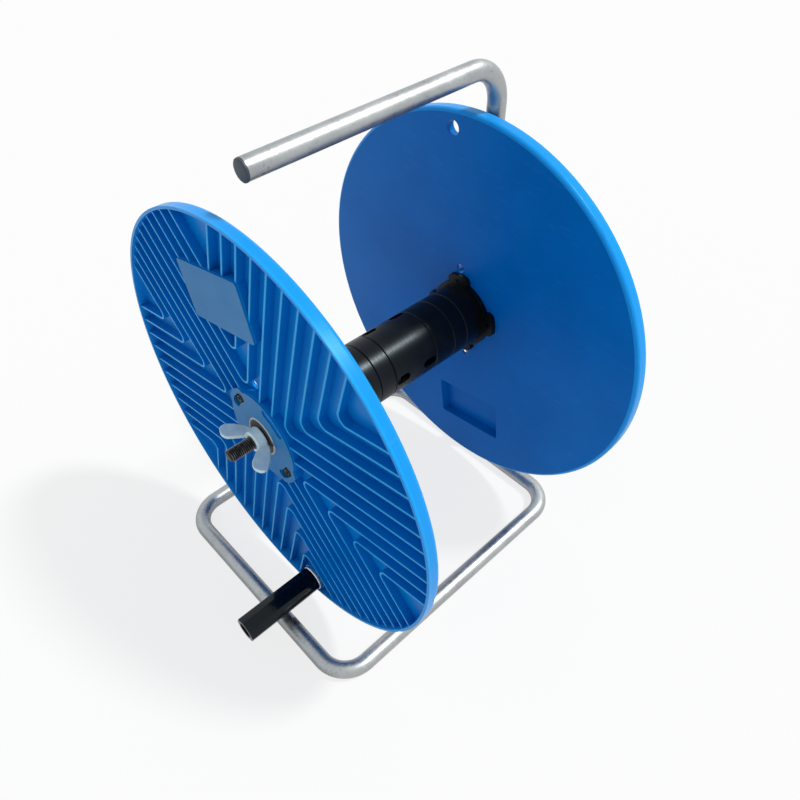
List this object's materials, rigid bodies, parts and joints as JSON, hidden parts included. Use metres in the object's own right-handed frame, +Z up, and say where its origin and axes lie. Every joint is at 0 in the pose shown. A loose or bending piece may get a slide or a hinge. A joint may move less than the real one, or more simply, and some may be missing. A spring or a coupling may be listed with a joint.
{
  "type": "wire coil winder",
  "caption": "Hand-cranked winding reel with two ribbed discs and a core, turning on a fixed threaded axle in a bent tube stand with a carrying handle.",
  "frame": {"origin": "on the floor, at the middle of the part as seen from above", "axes": "+Z up, +Y from the crank side to the post, along the axle; +X to the right seen from the crank side"},
  "size_m": [0.4, 0.377, 0.4623],
  "materials": {
    "galvanised_steel": "galvanised tube, satin",
    "weld_metal": "galvanised weld, rough",
    "black_plastic": "black moulded plastic, semi-gloss",
    "plug_plastic": "black plastic, matt",
    "blue_plastic": "blue moulded plastic, semi-gloss",
    "black_steel": "blackened steel",
    "zinc_steel": "bright zinc plated",
    "bearing_steel": "ground bearing steel",
    "seal_rubber": "moulded rubber"
  },
  "bodies": {
    "frame": {"base_loop": "galvanised_steel", "base_seam_weld": "weld_metal", "post_handle_tube": "galvanised_steel", "post_foot_weld": "weld_metal", "handle_end_plug": "plug_plastic", "axle_boss": "weld_metal", "axle_rod": "black_steel", "axle_rear_washer": "zinc_steel", "axle_rear_nut": "zinc_steel", "axle_spacer_tube": "zinc_steel", "front_bearing_inner_ring": "bearing_steel", "rear_bearing_inner_ring": "bearing_steel"},
    "reel": {"core_front_section": "black_plastic", "core_joint_ring": "black_plastic", "core_rear_flange": "black_plastic", "core_rear_ring": "black_plastic", "core_rear_section": "black_plastic", "core_slotted_section": "black_plastic", "crank_bolt": "zinc_steel", "crank_bush": "black_plastic", "crank_nut": "zinc_steel", "front_bearing_outer_ring": "bearing_steel", "front_bearing_seal": "seal_rubber", "front_flange": "blue_plastic", "front_hub_screw_1": "zinc_steel", "front_hub_screw_2": "zinc_steel", "rear_bearing_outer_ring": "bearing_steel", "rear_bearing_seal": "seal_rubber", "rear_flange": "blue_plastic", "rear_hub_screw_1": "zinc_steel", "rear_hub_screw_2": "zinc_steel"},
    "crank_grip": {"crank_grip": "black_plastic"},
    "clamp_washer": {"clamp_washer": "black_steel"},
    "wing_nut": {"wing_nut": "zinc_steel"}
  },
  "joints": [
    {"name": "reel_spin", "type": "hinge", "parent": "frame", "child": "reel", "pos_m": [0, -0.1077, 0.217], "axis": [0, 1, 0], "continuous": true},
    {"name": "crank_grip_spin", "type": "hinge", "parent": "reel", "child": "crank_grip", "pos_m": [0.04139, -0.1477, 0.03772], "axis": [0, 1, 0], "continuous": true},
    {"name": "clamp_washer_slide", "type": "slide", "parent": "frame", "child": "clamp_washer", "axis": [0, -1, 0], "range_m": [0, 0.0195]},
    {"name": "wing_nut_turn", "type": "hinge", "parent": "clamp_washer", "child": "wing_nut", "pos_m": [0, -0.1177, 0.217], "axis": [0, -1, 0], "range_deg": [0, 4000]}
  ],
  "couplings": [
    {"joint": "clamp_washer_slide", "follows": "wing_nut_turn", "m_per_rad": 0.00027852}
  ]
}
